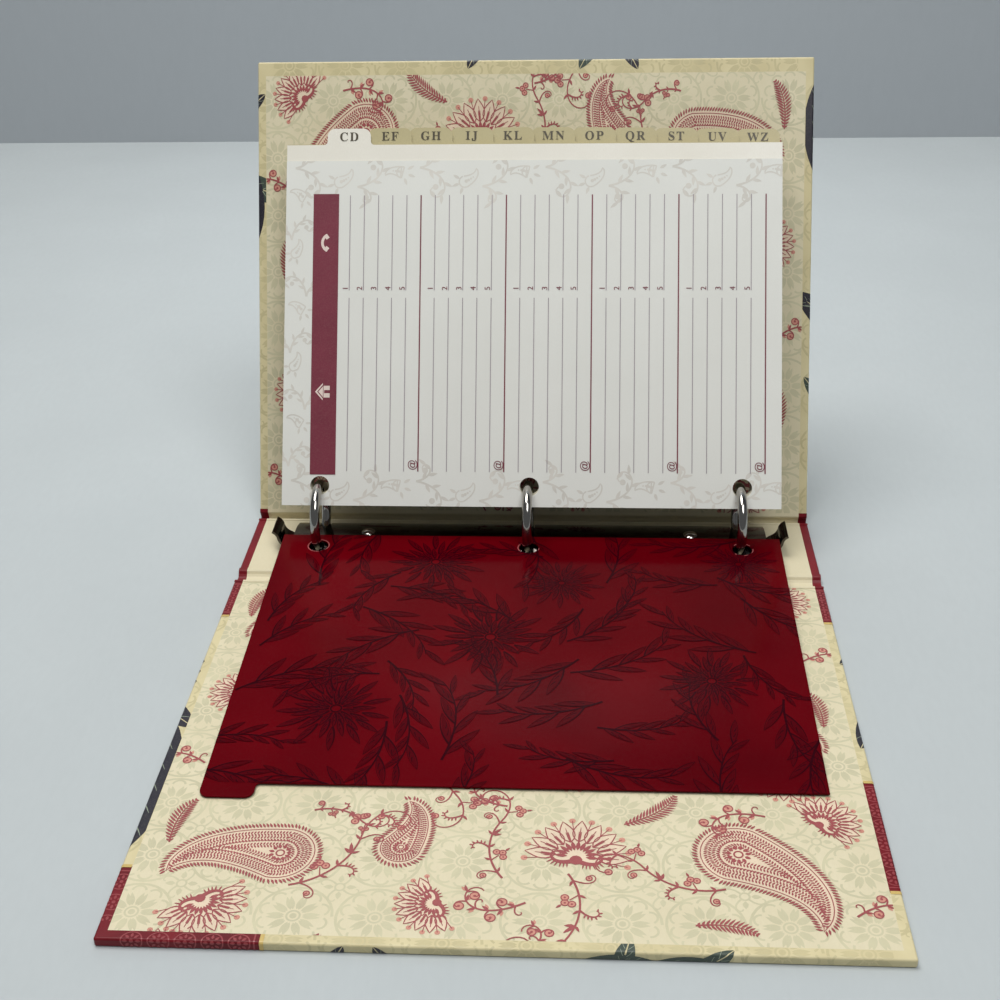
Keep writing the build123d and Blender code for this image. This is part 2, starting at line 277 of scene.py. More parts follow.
for name, node in nodes.items():
    node.data.materials.clear()
    node.data.materials.append(look_of(name).material)


# Drawing on a flat sheet, in mm

def moved(points, at, angle=0.0, size=1.0, flip=False):
    """Points scaled, mirrored about their X axis if flip, turned by degrees and moved."""
    c, s = size * cos(radians(angle)), size * sin(radians(angle))
    side = -1 if flip else 1
    return [(at[0] + c * x - s * side * y, at[1] + s * x + c * side * y) for x, y in points]


def polar(at, angle, radius):
    return (at[0] + radius * cos(radians(angle)), at[1] + radius * sin(radians(angle)))


def arc(at, radius, start, end, steps=16):
    return [polar(at, start + (end - start) * k / steps, radius) for k in range(steps + 1)]


def tendril(at, heading, length, bend, curl=0.0, steps=18):
    """A line that turns by bend degrees evenly, and by curl degrees mostly near its end."""
    line = [at]
    for k in range(steps):
        share = (k + 0.5) / steps
        line.append(polar(line[-1], heading + bend * share + curl * share**3, length / steps))
    return line


def stroke(line, start, end):
    """Outline of a pen stroke along a line, from one width to another."""
    left, right = [], []
    last = len(line) - 1
    for k, (x, y) in enumerate(line):
        (ax, ay), (bx, by) = line[max(k - 1, 0)], line[min(k + 1, last)]
        half = (start + (end - start) * k / last) / 2 / hypot(bx - ax, by - ay)
        left.append((x - (by - ay) * half, y + (bx - ax) * half))
        right.append((x + (by - ay) * half, y - (bx - ax) * half))
    return left + right[::-1]


def petal(at, angle, length, width, points=3):
    """A leaf shape from its base, widest a little before its middle."""
    rim = [(length * k / points, width / 2 * sin(pi * (k / points) ** 0.8)) for k in range(1, points)]
    outline = [(0, 0)] + [(x, -y) for x, y in rim] + [(length, 0)] + rim[::-1]
    return moved(outline, at, angle)


def disc(at, radius, points=10):
    return [polar(at, 360 * k / points, radius) for k in range(points)]


def ring(at, radius, width):
    """A circle's line, as two halves."""
    return [stroke(arc(at, radius, a, a + 180, 14), width, width) for a in (0, 180)]


def spaced(line, gap):
    """Points at equal gaps along a line, each with the line's heading there in degrees."""
    found, left = [], gap / 2
    for (ax, ay), (bx, by) in zip(line, line[1:]):
        run = hypot(bx - ax, by - ay)
        heading = degrees(atan2(by - ay, bx - ax))
        while left <= run and run > 0:
            found.append(((ax + (bx - ax) * left / run, ay + (by - ay) * left / run), heading))
            left += gap
        left -= run
    return found


def branches(line, gap):
    """The same points, numbered, each with a side of the line by turns: 1 or -1."""
    return [(k, *mark, 1 if k % 2 else -1) for k, mark in enumerate(spaced(line, gap))]


class Drawing:
    """Outlines sorted by ink."""

    def __init__(self):
        self.shapes = {}

    def add(self, ink, *outlines):
        self.shapes.setdefault(ink, []).extend(outlines)

    def line(self, ink, path, start, end):
        self.add(ink, stroke(path, start, end))

    def moved(self, at, angle=0.0, flip=False):
        copy = Drawing()
        for ink, outlines in self.shapes.items():
            copy.add(ink, *(moved(outline, at, angle, 1.0, flip) for outline in outlines))
        return copy

    def take(self, other):
        for ink, outlines in other.shapes.items():
            self.add(ink, *outlines)


def closed(outline):
    return outline + outline[:1]


def outlined(outline, width):
    """A line round a shape, in strokes too short to cross themselves."""
    rim = closed(outline)
    return [stroke(rim[k:k + 4], width, width) for k in range(0, len(rim) - 1, 3)]


def teardrop(spine, radius, inset):
    """Closed outline round a curved spine, full at its base and pointed, inset all round."""
    last = len(spine) - 1
    left, right, tip = [], [], spine[-1]
    for k in range(last):
        half = radius * (1 - k / last) ** 0.72 - inset
        if half < 0.1:
            tip = spine[k]
            break
        (ax, ay), (bx, by) = spine[k], spine[k + 1]
        reach = half / hypot(bx - ax, by - ay)
        left.append((ax - (by - ay) * reach, ay + (bx - ax) * reach))
        right.append((ax + (by - ay) * reach, ay - (bx - ax) * reach))
    return right + [tip] + left[::-1] + arc(spine[0], radius - inset, 100, 260, 14)


def make_paisley(length):
    """A curved teardrop with a fringe, contour lines, rows of seeds and a flower in its base."""
    art = Drawing()
    radius = 0.25 * length
    spine = tendril((0, 0), 0, 0.84 * length, 28, 62, 26)
    art.add("blush", teardrop(spine, radius, -0.2))
    for at, heading in spaced(closed(teardrop(spine, radius, 0)), 0.9):
        art.add("brick", petal(at, heading - 62, 1.9, 0.66))
    for inset in (0.6, 0.52 * radius):
        art.add("brick", *outlined(teardrop(spine, radius, inset), 0.24))
    for share, lean in ((0.1, 64), (0.2, 116), (0.3, 64), (0.41, 116), (0.56, 64), (0.66, 116)):
        for at, heading in spaced(closed(teardrop(spine, radius, share * radius + 0.3)), 0.82):
            art.add("brick", petal(at, heading + lean, 0.1 * radius + 0.25, 0.5))
    eye = 0.3 * radius + 0.4
    art.add("brick", *ring((0, 0), 0.32 * eye, 0.13 * eye))
    for k in range(11):
        angle = 360 * k / 11
        art.add("brick", petal(polar((0, 0), angle, 0.48 * eye), angle, 0.5 * eye, 0.3 * eye))
    return art


def make_bloom(size):
    """A fan of veined petals round smaller ones, with stamens and two curled sepals."""
    art = Drawing()
    art.add("blush", arc((0, 0), 0.92 * size, -98, 98, 24))
    for k in range(9):
        angle = -88 + 22 * k
        foot = polar((0, 0), angle, 0.42 * size)
        leaf = petal(foot, angle, 0.62 * size, 0.3 * size, 7)
        art.add("blush", leaf)
        art.add("brick", *outlined(leaf, 0.3))
        for turn, long in ((-9, 0.3), (0, 0.42), (9, 0.3)):
            art.line("brick", tendril(foot, angle + turn, long * size, -turn, 0, 3), 0.44, 0.16)
    for k in range(10):
        angle = -99 + 22 * k
        stalk = [polar((0, 0), angle, share * size) for share in (0.74, 0.9, 1.04)]
        art.line("brick", stalk, 0.22, 0.22)
        art.add("rose", disc(stalk[-1], 0.055 * size + 0.2, 8))
    for k in range(11):
        angle = -90 + 18 * k
        art.add("brick", petal(polar((0, 0), angle, 0.18 * size), angle, 0.27 * size, 0.1 * size))
    for side in (-1, 1):
        sepal = tendril((-0.1 * size, 0), 180 - side * 60, 0.9 * size, side * -70, side * -230)
        art.line("brick", sepal, 0.13 * size, 0.3)
        for at, heading in spaced(sepal[3:14], 0.75):
            art.add("brick", petal(at, heading + side * 80, 0.17 * size, 0.44))
    art.add("brick", disc((-0.1 * size, 0), 0.13 * size))
    return art


def draw_berry(art, at, radius):
    art.add("rose", disc(at, radius))
    art.add("brick", *ring(at, radius, 0.3))
    art.add("brick", disc(at, radius * 0.32, 8))


def make_sprig(length, bend=46, pairs=6):
    """A bent stem with curls, berries and leaves to both sides."""
    art = Drawing()
    stem = tendril((0, 0), 0, length, bend, bend * 1.6 + 150, 26)
    art.line("brick", stem, 0.62, 0.34)
    for k, at, heading, side in branches(stem[1:22], 0.82 * length / pairs):
        curl = tendril(at, heading + side * 48, 0.2 * length, side * 40, side * 210, 14)
        art.line("brick", curl, 0.46, 0.3)
        if k % 3:
            draw_berry(art, curl[-1], 0.035 * length + 0.35)
        art.add("brick", petal(at, heading - side * 42, 0.1 * length, 0.036 * length))
        lean = heading - side * 66
        art.add("rose", petal(polar(at, lean, 0.4), lean, 0.08 * length, 0.9))
    return art


def draw_trefoil(art, at, heading, size):
    """Three ringed lobes on a short stalk."""
    tip = polar(at, heading, 1.9 * size)
    art.line("brick", [at, polar(at, heading, size), tip], 0.34, 0.3)
    for turn in (-75, 0, 75):
        draw_berry(art, polar(tip, heading + turn, 0.95 * size), 0.62 * size)
    art.add("brick", petal(polar(tip, heading, 1.6 * size), heading, 1.2 * size, 0.5 * size))


def draw_comb_curl(art, at, heading, size, side):
    """A hooked curl with a comb of petals outside its bend."""
    curl = tendril(at, heading, size, side * 30, side * 190, 14)
    art.line("brick", curl, 0.6, 0.3)
    for k, (foot, way) in enumerate(spaced(curl[3:], 0.8)):
        art.add("brick", petal(foot, way - side * 70, 0.2 * size * (1 - 0.06 * k), 0.5))


def make_vine(length, bend=70):
    """A thin stem that bends both ways, with curls, trefoils, combs and leaves."""
    art = Drawing()
    first = tendril((0, 0), 0, 0.55 * length, bend, 0, 18)
    stem = first + tendril(first[-1], bend, 0.5 * length, -1.3 * bend, -2.4 * bend, 18)[1:]
    art.line("brick", stem, 0.6, 0.34)
    draw_berry(art, stem[-1], 0.9)
    for k, at, heading, side in branches(stem[:30], 0.115 * length):
        kind = k % 4
        if kind == 0:
            curl = tendril(at, heading + side * 40, 0.22 * length, side * 30, side * 300, 18)
            art.line("brick", curl, 0.44, 0.26)
            draw_berry(art, curl[-1], 0.75)
        elif kind == 1:
            draw_trefoil(art, at, heading + side * 62, 0.034 * length)
        elif kind == 2:
            draw_comb_curl(art, at, heading + side * 46, 0.16 * length, side)
        else:
            for turn, long in ((30, 0.085), (70, 0.06)):
                art.add("brick", petal(at, heading + side * turn, long * length, 0.024 * length))
        art.add("brick", petal(at, heading - side * 48, 0.05 * length, 0.018 * length))
    return art


def make_feather(length, bend=24):
    """A curved spine with a comb of leaflets down both sides."""
    art = Drawing()
    spine = tendril((0, 0), 0, length, bend, bend, 20)
    art.line("brick", spine, 0.5, 0.2)
    marks = spaced(spine, 1.0)
    for k, (at, heading) in enumerate(marks):
        long = 0.2 * length * sin(pi * (0.12 + 0.84 * k / len(marks)))
        for side in (-1, 1):
            art.add("brick", petal(at, heading + side * 52, long, 0.66))
    return art


def make_medallion(radius, ink):
    """A wheel of split petals inside a scalloped ring."""
    art = Drawing()
    art.add(ink, *ring((0, 0), radius * 0.2, 0.5), disc((0, 0), radius * 0.11, 12))
    for k in range(10):
        angle = 36 * k
        for side in (-1, 1):
            foot = polar((0, 0), angle + side * 7, radius * 0.27)
            art.add(ink, petal(foot, angle + side * 3, radius * 0.55, radius * 0.17, 6))
        edge = polar((0, 0), angle + 18, radius * 0.86)
        art.line(ink, arc(edge, radius * 0.22, angle - 62, angle + 98, 8), 0.6, 0.6)
    art.add(ink, *ring((0, 0), radius * 1.16, 0.7))
    return art


MEDALLION_STEP = 19.5


def draw_ground(art, face, ink):
    """Medallions on a square grid, with a clover and four curls in each gap."""
    medallion = make_medallion(0.41 * MEDALLION_STEP, ink)
    for row in range(int(face.height / MEDALLION_STEP) + 2):
        for column in range(int(face.width / MEDALLION_STEP) + 2):
            at = (column * MEDALLION_STEP + 4, row * MEDALLION_STEP + 6)
            art.take(medallion.moved(at))
            gap = (at[0] + MEDALLION_STEP / 2, at[1] + MEDALLION_STEP / 2)
            art.add(ink, *ring(gap, 0.06 * MEDALLION_STEP, 0.5))
            for turn in range(45, 405, 90):
                art.add(ink, petal(polar(gap, turn + 45, 1.5), turn + 45, 2.6, 1.5))
                curl = tendril(polar(gap, turn, 1.4), turn, 0.3 * MEDALLION_STEP, 40, 190, 10)
                art.line(ink, curl, 0.55, 0.35)


# One row of the endpaper's print: kind, size in mm, place in the row, heading, mirrored
PRINT_ROW = [
    ("paisley", 37, (36, 27), 166, False), ("vine", 46, (40, 16), 14, False),
    ("bloom", 10.5, (20, 10), -60, False), ("vine", 25, (42, 43), 20, True),
    ("feather", 17, (7, 30), 96, True), ("paisley", 23, (66, 30), 62, False),
    ("vine", 40, (92, 20), 128, True), ("bloom", 9.0, (76, 11), 204, True),
    ("bloom", 12.5, (110, 28), 84, False), ("vine", 44, (108, 22), -58, True),
    ("sprig", 24, (98, 12), -150, True), ("feather", 18, (122, 40), 22, False),
    ("paisley", 40, (150, 30), -26, True), ("vine", 40, (146, 18), 196, True),
    ("bloom", 9.5, (172, 42), 40, False), ("sprig", 24, (158, 44), 165, False),
    ("feather", 15, (138, 6), 8, True), ("sprig", 22, (176, 10), 40, True),
    ("sprig", 20, (92, 46), 170, True),
]
ROW_STEP = 51.0
MAKERS = {"paisley": make_paisley, "bloom": make_bloom, "vine": make_vine, "sprig": make_sprig,
          "feather": make_feather}


def make_endpaper_print(face, shift):
    """Rows of paisleys, blooms, vines and feathers over a faint ground, every other row turned round."""
    art = Drawing()
    draw_ground(art, face, "rosette")
    for row in range(-1, int(face.height / ROW_STEP) + 2):
        for kind, size, (x, y), heading, flip in PRINT_ROW:
            motif = MAKERS[kind](size)
            turned = (row + shift) % 2 == 1
            at = (face.width - x if turned else x, y + row * ROW_STEP)
            art.take(motif.moved(at, 180 - heading if turned else heading, flip != turned))
    return art


# Faces of the model, and films of ink on them

class Face:
    """A flat face of a node. u runs along across, v at right angles to it, h out of the face; all in mm."""

    def __init__(self, node, outward, across=(1, 0, 0)):
        mesh = nodes[node].data
        facing = Vector(outward).normalized()
        flat = max(mesh.polygons, key=lambda face: face.area * (face.normal.dot(facing) > 0.5))
        self.out = flat.normal.copy()
        side = Vector(across)
        self.u = (side - self.out * side.dot(self.out)).normalized()
        self.v = self.out.cross(self.u)
        spans = [[corner.co.dot(axis) for corner in mesh.vertices] for axis in (self.u, self.v, self.out)]
        (u_low, u_high), (v_low, v_high) = [(min(span), max(span)) for span in spans[:2]]
        self.origin = self.u * u_low + self.v * v_low + self.out * max(spans[2])
        self.width = (u_high - u_low) / MM
        self.height = (v_high - v_low) / MM

    def place(self, u, v, h):
        return self.origin + (self.u * u + self.v * v + self.out * h) * MM

    def panel(self, one, other):
        """Left, bottom, right and top, in u and v, of a box on a level face between two points in X and Y."""
        offsets = [Vector((x, y, 0)) - self.origin / MM for x, y in (one, other)]
        across, along = [[offset.dot(axis) for offset in offsets] for axis in (self.u, self.v)]
        return min(across), min(along), max(across), max(along)


def clipped(outline, low, high):
    """An outline cut to a box."""
    for axis in (0, 1):
        for limit, side in ((low[axis], 1), (high[axis], -1)):
            kept = []
            for k, b in enumerate(outline):
                a = outline[k - 1]
                if (side * (a[axis] - limit) >= 0) != (side * (b[axis] - limit) >= 0):
                    share = (limit - a[axis]) / (b[axis] - a[axis])
                    kept.append((a[0] + share * (b[0] - a[0]), a[1] + share * (b[1] - a[1])))
                if side * (b[axis] - limit) >= 0:
                    kept.append(b)
            outline = kept
            if len(outline) < 3:
                return []
    return outline


def signed_area(outline):
    return sum(ax * by - bx * ay for (ax, ay), (bx, by) in zip(outline[-1:] + outline, outline)) / 2


def triangulated(outlines, holes, lines):
    """Points and triangles that fill the outlines except the holes, cut along the lines."""
    points, edges, faces = [], [], []
    for line in lines:
        edges.append((len(points), len(points) + 1))
        points += [Vector(end) for end in line]
    shapes = list(holes) + [outline for outline in outlines if abs(signed_area(outline)) > JOIN]
    for outline in shapes:
        faces.append(list(range(len(points), len(points) + len(outline))))
        points += [Vector(corner) for corner in (outline if signed_area(outline) > 0 else outline[::-1])]
    corners, _, triangles, _, _, sources = geometry.delaunay_2d_cdt(points, edges, faces, 1, JOIN)
    filled = [0.0] * len(shapes)
    for triangle, source in zip(triangles, sources):
        area = abs(signed_area([corners[corner] for corner in triangle]))
        for shape in source:
            filled[shape] += area
    # A shape whose fill ran out past its own outline is left out
    sound = {k for k, shape in enumerate(shapes) if filled[k] < 2 * abs(signed_area(shape)) + 1}
    inside = []
    for triangle, source in zip(triangles, sources):
        kept = sound.intersection(source)
        if kept and min(kept) >= len(holes):
            inside.append(triangle)
    return corners, inside


def film(points, triangles, place, height):
    """Corners and faces of a layer of ink at a height over the paper."""
    used = sorted({corner for triangle in triangles for corner in triangle})
    number = {corner: k for k, corner in enumerate(used)}
    corners = [place(*points[corner], height) for corner in used]
    return corners, [[number[corner] for corner in triangle] for triangle in triangles]


def add_mesh(name, corners, faces, look):
    mesh = bpy.data.meshes.new(name)
    mesh.from_pydata(corners, [], faces)
    mesh.update()
    mesh.materials.append(look.material)
    piece = bpy.data.objects.new(name, mesh)
    bpy.context.scene.collection.objects.link(piece)
    return piece


def lay_drawing(name, art, body, low, high, place, holes=(), lines=()):
    """A film for each ink of a drawing, cut to a box and laid by a place function."""
    for ink, outlines in art.shapes.items():
        cut = [outline for outline in (clipped(one, low, high) for one in outlines) if outline]
        points, triangles = triangulated(cut, holes, lines)
        if triangles:
            corners, faces = film(points, triangles, place, FILM_STEP * (1 + list(INKS).index(ink)))
            piece = add_mesh(f"{name}_{ink}", corners, faces, looks[ink])
            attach(piece, body)


EDGE = 0.02  # bare paper left round a print, mm


def lay_on_face(name, art, face, body, holes=(), low=(EDGE, EDGE)):
    lay_drawing(name, art, body, low, (face.width - EDGE, face.height - EDGE), face.place, holes)


# Endpapers
front_face = Face("front_endpaper", (0, 0, 1))
back_face = Face("back_endpaper", (0, -1, 0.5))
lay_on_face("front_endpaper_print", make_endpaper_print(front_face, 0), front_face,
            "front_cover")
lay_on_face("back_endpaper_print", make_endpaper_print(back_face, 1), back_face,
            "back_cover")


# Address leaf: a column of entries, read with the leaf turned a quarter

HOLE_PITCH = 69.85   # between the rings
HOLE_CENTRE = 82.55  # from a leaf's left edge to its middle hole
HOLE_MARGIN = 6.6    # from the binding edge to a hole's centre
HOLE_BARE = 3.3      # radius kept free of ink round a hole
HOLE_RIM = 3.5       # pale pink ring round a hole of the red divider


def leaf_hole_centres(height, from_top):
    """The three holes, near a face's lower edge or, from_top, its upper one."""
    v = height - HOLE_MARGIN if from_top else HOLE_MARGIN
    return [(HOLE_CENTRE + k * HOLE_PITCH, v) for k in (-1, 0, 1)]


def leaf_holes(height, from_top):
    return [disc(centre, HOLE_BARE, 24) for centre in leaf_hole_centres(height, from_top)]


BAR = (9.3, 17.9)             # heading bar, from the leaf's left edge
BAR_RUN = (10.3, 104.5)       # and from its binding edge
FIRST_RULE, RULE_STEP = 21.7, 4.76
RULES_PER_ENTRY, ENTRIES = 6, 5
RULE_RUNS = ((11.5, 69.5), (72.0, 104.0))
RULE_HALF, ENTRY_RULE_HALF = 0.12, 0.2
NUMERAL_SIZE, NUMERAL_AT, NUMERAL_LIFT = 2.6, 72.7, 1.2  # over a rule, at its break
SIGN_SIZE, SIGN_AT, SIGN_LIFT = 3.4, 13.7, 1.9           # over an entry's last rule
HANDSET_SIZE, HANDSET_AT = 3.0, 88.0                     # on the bar
HOUSE_SIZE, HOUSE_AT = 2.9, 38.0


def text_outlines(text, size, at, angle=0.0, spacing=1.0):
    """Outlines of letters, centred, from the font that Blender carries."""
    curve = bpy.data.curves.new("lettering", "FONT")
    curve.body = text
    curve.size = size
    curve.align_x = "CENTER"
    curve.align_y = "CENTER"
    curve.space_character = spacing
    writing = bpy.data.objects.new("lettering", curve)
    bpy.context.scene.collection.objects.link(writing)
    bpy.context.view_layer.update()
    mesh = bpy.data.meshes.new_from_object(writing.evaluated_get(bpy.context.evaluated_depsgraph_get()))
    shapes = [[mesh.vertices[k].co[:2] for k in face.vertices] for face in mesh.polygons]
    bpy.data.objects.remove(writing)
    bpy.data.curves.remove(curve)
    bpy.data.meshes.remove(mesh)
    return [moved(shape, at, angle) for shape in shapes]


def box(left, bottom, right, top):
    return [(left, bottom), (right, bottom), (right, top), (left, top)]


def handset(at, size):
    """A telephone handset, lying along the bar."""
    bow = stroke(arc((0, -0.62), 1.0, 40, 140, 14), 0.3, 0.3)
    cups = [moved(box(-0.2, -0.3, 0.22, 0.24), polar((0, -0.62), a, 0.9), a - 90) for a in (38, 142)]
    return [moved(shape, at, 90, size) for shape in [bow] + cups]


def house(at, size):
    """A small house: roof, walls either side of a door, and a sill."""
    roof = [(-1.0, 0.1), (0.0, 1.0), (1.0, 0.1), (0.78, 0.1), (0.0, 0.76), (-0.78, 0.1)]
    walls = [box(-0.68, -0.7, -0.18, 0.02), box(0.18, -0.7, 0.68, 0.02), box(-0.18, -0.06, 0.18, 0.02),
             [(-0.62, 0.08), (0.62, 0.08), (0.0, 0.62)]]
    return [moved(shape, at, 90, size) for shape in [roof] + walls]


def draw_scroll(art, at, heading, size, side):
    """A faint scroll: a long curl and a short one against it, with leaves and berries."""
    for turn, long, way in ((0, 1.0, side), (-20, 0.55, -side)):
        curl = tendril(at, heading + side * turn, long * size, way * 70, way * 290, 30)
        art.line("pale", curl, 0.7, 0.4)
        art.add("pale", disc(curl[-1], 0.045 * size, 12))
        for k, (foot, line_heading) in enumerate(spaced(curl[3:24], 0.1 * size)):
            lean = -way * 42 if k % 2 else way * 42
            art.add("pale", petal(foot, line_heading + lean, 0.15 * size, 0.05 * size, 6))


def draw_bud(art, at, heading, size):
    """A small open teardrop with a row of beads inside and three leaves at its foot."""
    spine = tendril(at, heading, size, 30, 60, 14)
    art.add("pale", *outlined(teardrop(spine, 0.3 * size, 0), 0.45))
    for k in (1, 3, 5, 7):
        art.add("pale", disc(spine[k], 0.1 * size * (1 - 0.08 * k), 10))
    for turn in (130, 180, 230):
        foot = polar(at, heading + turn, 0.32 * size)
        art.add("pale", petal(foot, heading + turn, 0.4 * size, 0.16 * size, 6))


BORDER_LINES = (5.1, 110.1)  # middles of the margins at the binding edge and the far edge
BORDER_STEP, BORDER_SCROLL, BORDER_BUD = 21.0, 22.0, 6.4
SIDE_STEP, SIDE_SCROLL, SIDE_BUD = 19.0, 17.0, 5.4


def draw_border(art):
    """Scrolls and buds by turns in the leaf's margins: eight along its top and foot, five up its side."""
    bottom, top = BORDER_LINES
    for k in range(8):
        side = 1 if k % 2 else -1
        for v in (top, bottom):
            u = 3 + k * BORDER_STEP
            draw_scroll(art, (u, v - side * 3.2), side * 10, BORDER_SCROLL, side)
            draw_bud(art, (u + 0.72 * BORDER_STEP, v + side * 1.6), 90 + side * 70, BORDER_BUD)
    for k in range(5):
        side = 1 if k % 2 else -1
        v = 13 + k * SIDE_STEP
        draw_scroll(art, (BAR[0] / 2 + side * 2.6, v), 90 + side * 8, SIDE_SCROLL, side)
        draw_bud(art, (BAR[0] / 2 - side * 1.2, v + 0.76 * SIDE_STEP), 90 - side * 40, SIDE_BUD)


def make_address_print():
    art = Drawing()
    draw_border(art)
    (left, right), (near, far) = BAR, BAR_RUN
    middle = (left + right) / 2
    art.add("maroon", box(left, near, right, far))
    art.add("cream", *handset((middle, HANDSET_AT), HANDSET_SIZE))
    art.add("cream", *house((middle, HOUSE_AT), HOUSE_SIZE))
    for k in range(RULES_PER_ENTRY * ENTRIES):
        u = FIRST_RULE + k * RULE_STEP
        number = k % RULES_PER_ENTRY + 1
        if number == RULES_PER_ENTRY:
            start, end = RULE_RUNS[0][0], RULE_RUNS[1][1]
            art.add("maroon", box(u - ENTRY_RULE_HALF, start, u + ENTRY_RULE_HALF, end))
            art.add("maroon", *text_outlines("@", SIGN_SIZE, (u - SIGN_LIFT, SIGN_AT), 90))
        else:
            art.add("rule", *(box(u - RULE_HALF, start, u + RULE_HALF, end) for start, end in RULE_RUNS))
            at = (u - NUMERAL_LIFT, NUMERAL_AT)
            art.add("maroon", *text_outlines(str(number), NUMERAL_SIZE, at, 90))
    return art


address_face = Face("leaf_ab", (0, -1, 0.5))
lay_on_face("address_print", make_address_print(), address_face,
            "page_block", leaf_holes(address_face.height, False))


# Turned divider: dark sprays on red card

TAB_DEPTH = 5.5


def draw_shaded_leaf(art, at, heading, long, wide):
    """A leaf in a soft tone, with a dark rim, a thin one and short hatching."""
    art.add("dusk_red", petal(at, heading, long, wide, 8))
    for side, start in ((1, 0.3 * wide), (-1, 0.1 * wide)):
        rim = tendril(at, heading + side * 22, 1.02 * long, side * -44, 0, 8)
        art.line("shadow_red", rim, start, 0.12)
    for share in (0.28, 0.5):
        hatch = tendril(polar(at, heading, share * long), heading - 24, 0.2 * long, 16, 0, 3)
        art.line("shadow_red", hatch, 0.34, 0.1)


def make_daisy(radius, petals=13):
    """A many-petalled head seen from above, in shaded leaves of three lengths."""
    art = Drawing()
    for row, (start, long) in enumerate(((0.12, 0.34), (0.28, 0.44), (0.46, 0.54))):
        for k in range(petals):
            angle = 360 * (k + 0.5 * row) / petals + 5 * sin(5 * k)
            foot = polar((0, 0), angle, start * radius)
            draw_shaded_leaf(art, foot, angle, long * radius * (1 + 0.12 * sin(7 * k)), 0.13 * radius)
    art.add("shadow_red", *ring((0, 0), radius * 0.09, 0.5))
    return art


def make_willow(length, bend, pairs=8):
    """A bent twig with long narrow leaves that lean along it."""
    art = Drawing()
    stem = tendril((0, 0), 0, length, bend, bend * 0.6, 20)
    art.line("shadow_red", stem, 0.7, 0.25)
    for k, at, heading, side in branches(stem, length / pairs):
        long = length * (0.4 - 0.02 * k) * (1 + 0.14 * sin(3 * k))
        draw_shaded_leaf(art, at, heading + side * 25, long, 0.15 * long)
    return art


SPRAY_COLUMNS, SPRAY_ROWS = 8, 6
GOLDEN_TURN = 137.5   # degrees from one spray's heading to the next
DAISIES = {9: 17, 22: 15, 27: 18, 36: 13, 42: 16, 47: 13}  # places on the grid with a flower, and its radius


def make_sprays(face):
    """Twigs on a loose grid, each turned on from the last, with a flower here and there."""
    art = Drawing()
    for k in range(SPRAY_COLUMNS * SPRAY_ROWS):
        row, column = divmod(k, SPRAY_COLUMNS)
        heading = k * GOLDEN_TURN
        middle = ((column + 0.5 + 0.22 * sin(2.1 * k)) * face.width / SPRAY_COLUMNS,
                  (row + 0.5 + 0.24 * sin(3.7 * k)) * face.height / SPRAY_ROWS)
        if k in DAISIES:
            art.take(make_daisy(DAISIES[k]).moved(middle, heading))
        else:
            size = 30 + 5 * sin(1.3 * k)
            motif = make_willow(size, 34 if k % 2 else -34)
            art.take(motif.moved(polar(middle, heading, -size / 2), heading))
    for hole in leaf_hole_centres(face.height, True):
        art.add("pink", *ring(hole, HOLE_RIM, 0.3))
    return art


red_face = Face("divider_ab", (0, 0, 1))
lay_on_face("turned_divider_print", make_sprays(red_face), red_face,
            "turned_divider", leaf_holes(red_face.height, True), (EDGE, TAB_DEPTH + EDGE))


# Index letters on the tabs

TAB_TIP = 1.0      # depth at a tab's far edge that no other part of its divider reaches
LETTER_SIZE = 4.2
LETTER_SPACING = 1.22
LETTER_DROP = 2.9  # from a tab's top edge to its letters' middle
SERIF_A = 0x1D400  # where the font's upright serif capitals begin


def tab_centre(face, node):
    """u of the middle of a divider's tab, which alone reaches the face's far edge."""
    across = [(corner.co - face.origin).dot(face.u) / MM for corner in nodes[node].data.vertices
              if (corner.co - face.origin).dot(face.v) / MM > face.height - TAB_TIP]
    return (min(across) + max(across)) / 2


def serif(text):
    return "".join(chr(SERIF_A + ord(letter) - ord("A")) for letter in text.upper())


for section in SECTIONS[1:]:
    divider = f"divider_{section}"
    tab_face = Face(divider, (0, -1, 0.5))
    at = (tab_centre(tab_face, divider), tab_face.height - LETTER_DROP)
    letters = Drawing()
    letters.add("black", *text_outlines(serif(section), LETTER_SIZE, at, 0.0, LETTER_SPACING))
    lay_on_face(f"{divider}_letters", letters, tab_face, "page_block")


# Outside of the covers: flowers and leaves that run over the edges on to the turned-in margin

WRAP_ROUND = 0.6     # radius of a cover's edges
WRAP_THICK = 2.6
TURN_IN = 2.8        # margin that shows round an endpaper
BACK_TURN_IN = 4.8   # the same at the back cover's fore-edge
PRINT_START = 3.2    # clear of a gutter
STRIP_BARE = 0.1     # bare paper left at the turned-in end of a print
PANEL_STEP = 6.4     # lattice of the dark panels
PANEL_CLEAR = 2.0    # from a panel's edge to its lattice


def make_flower(radius):
    """A big double flower: three rows of outlined and veined petals round a dotted heart."""
    art = Drawing()
    rows = ((12, 0.36, 0.64, 0.36, "crimson", "pink"), (10, 0.2, 0.52, 0.28, "pink", "plum"),
            (8, 0.1, 0.34, 0.2, "plum", "gold"))
    for row, (count, start, long, wide, ink, vein_ink) in enumerate(rows):
        for k in range(count):
            angle = 360 * (k + 0.5 * row) / count + 3 * sin(4 * k)
            foot = polar((0, 0), angle, start * radius)
            shape = petal(foot, angle, long * radius, wide * radius, 8)
            art.add(ink, shape)
            art.add("plum", *outlined(shape, 0.22))
            for turn, reach in ((-8, 0.62), (0, 0.8), (8, 0.62)):
                vein = tendril(foot, angle + turn, reach * long * radius, -turn, 0, 4)
                art.line(vein_ink, vein, 0.38, 0.12)
    art.add("gold", disc((0, 0), 0.1 * radius, 14))
    art.add("gold", *(disc(polar((0, 0), 30 * k, 0.16 * radius), 0.025 * radius, 8) for k in range(12)))
    return art


